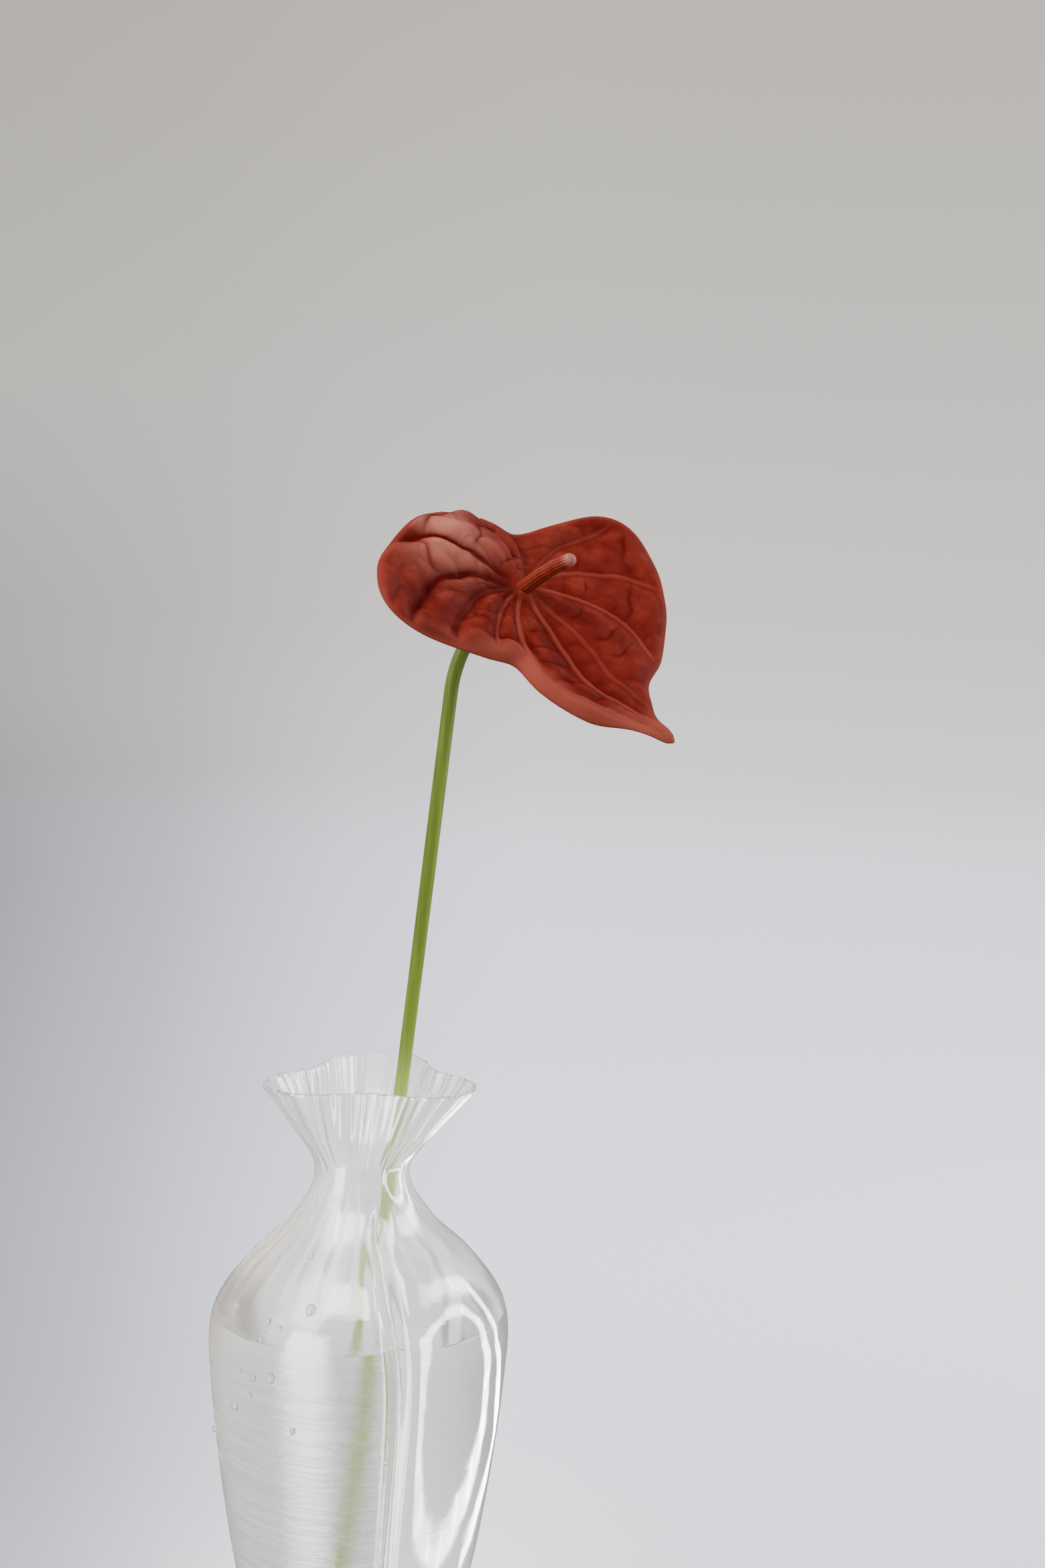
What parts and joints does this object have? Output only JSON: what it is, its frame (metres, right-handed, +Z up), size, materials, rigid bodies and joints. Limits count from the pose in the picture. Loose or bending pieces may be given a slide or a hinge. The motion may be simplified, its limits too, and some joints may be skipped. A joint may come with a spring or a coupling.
{
  "type": "bud vase with flower",
  "caption": "Clear lobed bud vase with a pinched neck and fluted collar, part filled with water, holding a cut anthurium that lifts out and turns.",
  "frame": {"origin": "centre of the foot, on the surface that the vase stands on", "axes": "+Z up, front towards -Y, the flower leans towards +X"},
  "size_m": [0.1685, 0.1162, 0.4466],
  "materials": {
    "clear_glass": "gloss",
    "water": "gloss",
    "stem": "satin",
    "spathe": "gloss",
    "spadix": "satin"
  },
  "bodies": {
    "vase": {"vase_body": "clear_glass", "water": "water"},
    "cut_end": {"stem_end": "stem"},
    "flower": {"flower_stem": "stem", "spathe": "spathe", "spadix": "spadix"}
  },
  "joints": [
    {"name": "flower_lift", "type": "slide", "parent": "vase", "child": "cut_end", "axis": [0.1011, 0, 0.9949], "range_m": [0, 0.25]},
    {"name": "flower_turn", "type": "hinge", "parent": "cut_end", "child": "flower", "pos_m": [-0.008, 0, 0], "axis": [0.1011, 0, 0.9949], "continuous": true}
  ]
}
